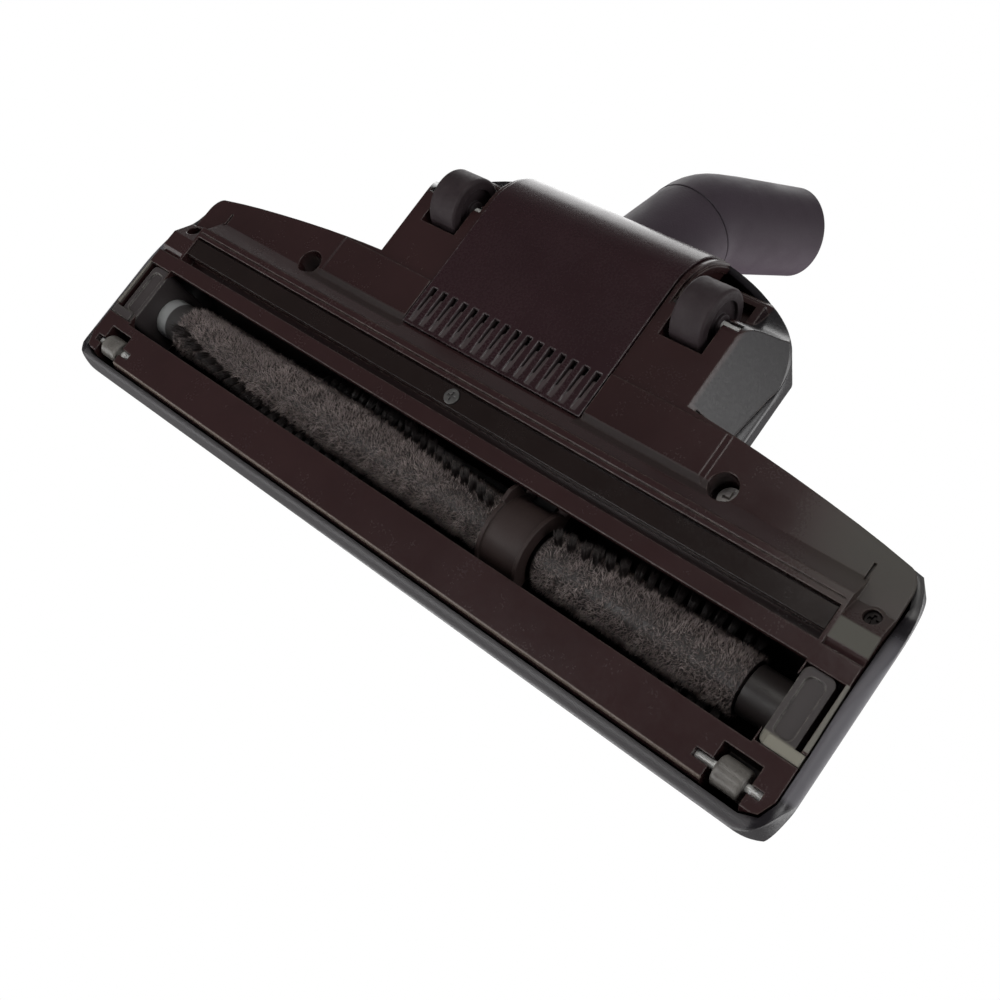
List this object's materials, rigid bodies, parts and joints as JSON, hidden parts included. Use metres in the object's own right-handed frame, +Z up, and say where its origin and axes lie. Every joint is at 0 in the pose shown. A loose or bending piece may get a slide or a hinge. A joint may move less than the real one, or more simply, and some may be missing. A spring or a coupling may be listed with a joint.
{
  "type": "vacuum floor brush head",
  "caption": "Wide air-driven vacuum floor head with a belt-driven brush in a slotted sole, small wheels and rollers, and a tilting neck with a swivelling elbow socket for the wand.",
  "frame": {"origin": "on the floor under the middle of the bounding box, head standing on its rollers and wheels", "axes": "+X along the head's width, -Y towards the front edge, +Z up"},
  "size_m": [0.325, 0.2292, 0.1152],
  "materials": {
    "sole_plastic": "black-brown moulded plastic, semi-gloss",
    "shell_plastic": "glossy black moulded plastic",
    "block_plastic": "dark grey plastic",
    "bush_cream": "pale acetal",
    "bush_dark": "dark acetal",
    "steel": "bright drawn steel",
    "brush_plastic": "dark plastic",
    "bristle": "soft grey-brown nylon filament",
    "belt_rubber": "matt black rubber",
    "seal_rubber": "black rubber",
    "inner_plastic": "plain grey plastic",
    "bearing_brass": "sintered bronze",
    "wheel_plastic": "black-brown plastic",
    "elbow_plastic": "grain-textured grey-black plastic"
  },
  "bodies": {
    "head": {"lower_housing": "sole_plastic", "upper_housing": "shell_plastic", "turbine_cover": "sole_plastic", "sole_strip": "sole_plastic", "strip_screw": "steel", "housing_screws": "steel", "end_screws": "steel", "bearing_block_left": "block_plastic", "bearing_block_right": "block_plastic", "brush_bush_left": "bush_cream", "brush_bush_right": "bush_dark", "belt_guard": "sole_plastic", "drive_belt": "belt_rubber", "turbine_shroud": "inner_plastic", "turbine_bearing_left": "bearing_brass", "turbine_bearing_right": "bearing_brass", "air_nozzle": "inner_plastic", "front_axle_left": "steel", "front_axle_right": "steel", "rear_axle_left": "steel", "rear_axle_right": "steel"},
    "brush": {"brush_shaft": "steel", "brush_core_long": "brush_plastic", "brush_core_short": "brush_plastic", "brush_pulley": "brush_plastic", "brush_bristles_long": "bristle", "brush_bristles_short": "bristle"},
    "turbine": {"turbine_shaft": "steel", "turbine_wheel": "inner_plastic", "turbine_pulley": "inner_plastic"},
    "rear_wheel_left": {"rear_wheel_left": "wheel_plastic"},
    "rear_wheel_right": {"rear_wheel_right": "wheel_plastic"},
    "front_roller_left": {"front_roller_left": "wheel_plastic"},
    "front_roller_right": {"front_roller_right": "wheel_plastic"},
    "neck": {"neck": "elbow_plastic"},
    "elbow": {"elbow": "elbow_plastic", "neck_lock_ring": "inner_plastic", "elbow_seal": "seal_rubber"}
  },
  "joints": [
    {"name": "brush_spin", "type": "hinge", "parent": "head", "child": "brush", "pos_m": [0, -0.07938, 0.0175], "axis": [1, 0, 0], "continuous": true},
    {"name": "turbine_spin", "type": "hinge", "parent": "head", "child": "turbine", "pos_m": [0, -0.02173, 0.038], "axis": [1, 0, 0], "continuous": true},
    {"name": "rear_wheel_left_spin", "type": "hinge", "parent": "head", "child": "rear_wheel_left", "pos_m": [0.0546, 0.01377, 0.0122], "axis": [1, 0, 0], "continuous": true},
    {"name": "rear_wheel_right_spin", "type": "hinge", "parent": "head", "child": "rear_wheel_right", "pos_m": [-0.0546, 0.01377, 0.0122], "axis": [1, 0, 0], "continuous": true},
    {"name": "front_roller_left_spin", "type": "hinge", "parent": "head", "child": "front_roller_left", "pos_m": [0.1448, -0.10343, 0.0046], "axis": [1, 0, 0], "continuous": true},
    {"name": "front_roller_right_spin", "type": "hinge", "parent": "head", "child": "front_roller_right", "pos_m": [-0.1448, -0.10343, 0.0046], "axis": [1, 0, 0], "continuous": true},
    {"name": "neck_tilt", "type": "hinge", "parent": "head", "child": "neck", "pos_m": [0, 0.02027, 0.0418], "axis": [1, 0, 0], "range_deg": [0, 55]},
    {"name": "elbow_swivel", "type": "hinge", "parent": "neck", "child": "elbow", "pos_m": [0, 0.02027, 0.0418], "axis": [0, 0.9063, 0.4226], "continuous": true}
  ],
  "couplings": [
    {"joint": "turbine_spin", "follows": "brush_spin", "ratio": 1.4839}
  ]
}
